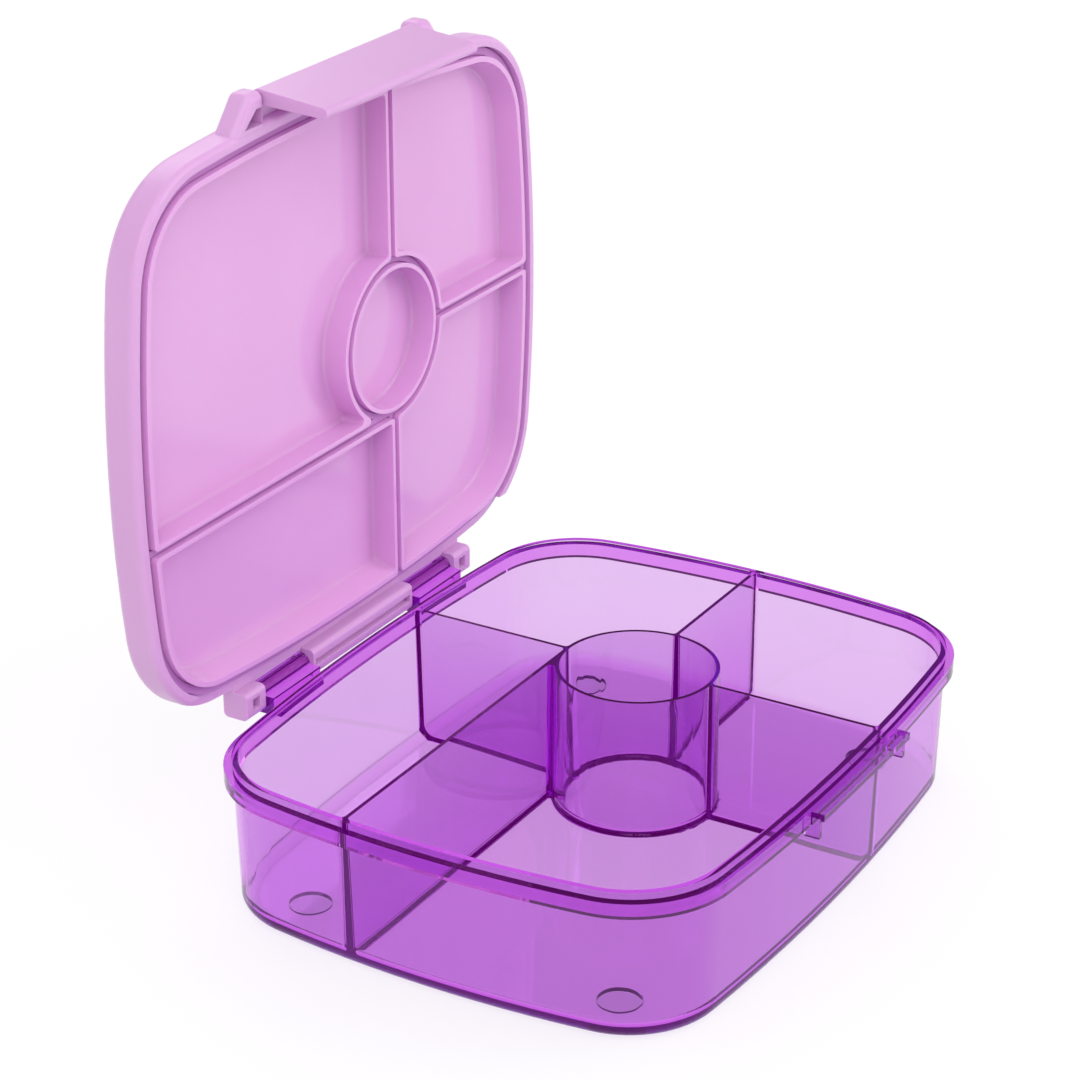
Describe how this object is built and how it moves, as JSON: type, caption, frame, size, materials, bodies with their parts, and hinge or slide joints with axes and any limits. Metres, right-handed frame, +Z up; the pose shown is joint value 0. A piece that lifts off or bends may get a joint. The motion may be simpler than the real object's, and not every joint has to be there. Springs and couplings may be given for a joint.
{
  "type": "bento lunch box",
  "caption": "Bento lunch box: a clear tub divided into compartments around a round dip cup, with a hinged sealing lid and a snap latch flap",
  "frame": {"origin": "the middle of the tub's underside, on the plane that the box stands on", "axes": "+X along the hinge line, -Y towards the latch side, +Z up; the lid stands open at +Y"},
  "size_m": [0.2092, 0.1806, 0.2253],
  "materials": {
    "clear_tub": "clear purple moulded copolyester",
    "feet": "clear purple silicone rubber",
    "lid": "orchid pink moulded polypropylene",
    "liner": "orchid pink moulded polypropylene",
    "seal": "violet silicone rubber",
    "pins": "plain moulded polypropylene rod",
    "flap": "orchid pink moulded polypropylene"
  },
  "bodies": {
    "base": {"base_tub": "clear_tub", "foot_front_left": "feet", "foot_front_right": "feet", "foot_rear_left": "feet", "foot_rear_right": "feet"},
    "lid": {"lid_shell": "lid", "lid_liner": "liner", "lid_gasket": "seal", "hinge_pin_left": "pins", "hinge_pin_right": "pins", "latch_pin": "pins"},
    "latch": {"latch_flap": "flap"}
  },
  "joints": [
    {"name": "lid_hinge", "type": "hinge", "parent": "base", "child": "lid", "pos_m": [0, 0.0866, 0.0472], "axis": [1, 0, 0], "range_deg": [0, 90]},
    {"name": "latch_hinge", "type": "hinge", "parent": "lid", "child": "latch", "pos_m": [0, 0.0862, 0.2228], "axis": [1, 0, 0], "range_deg": [-115, 7.5]}
  ]
}
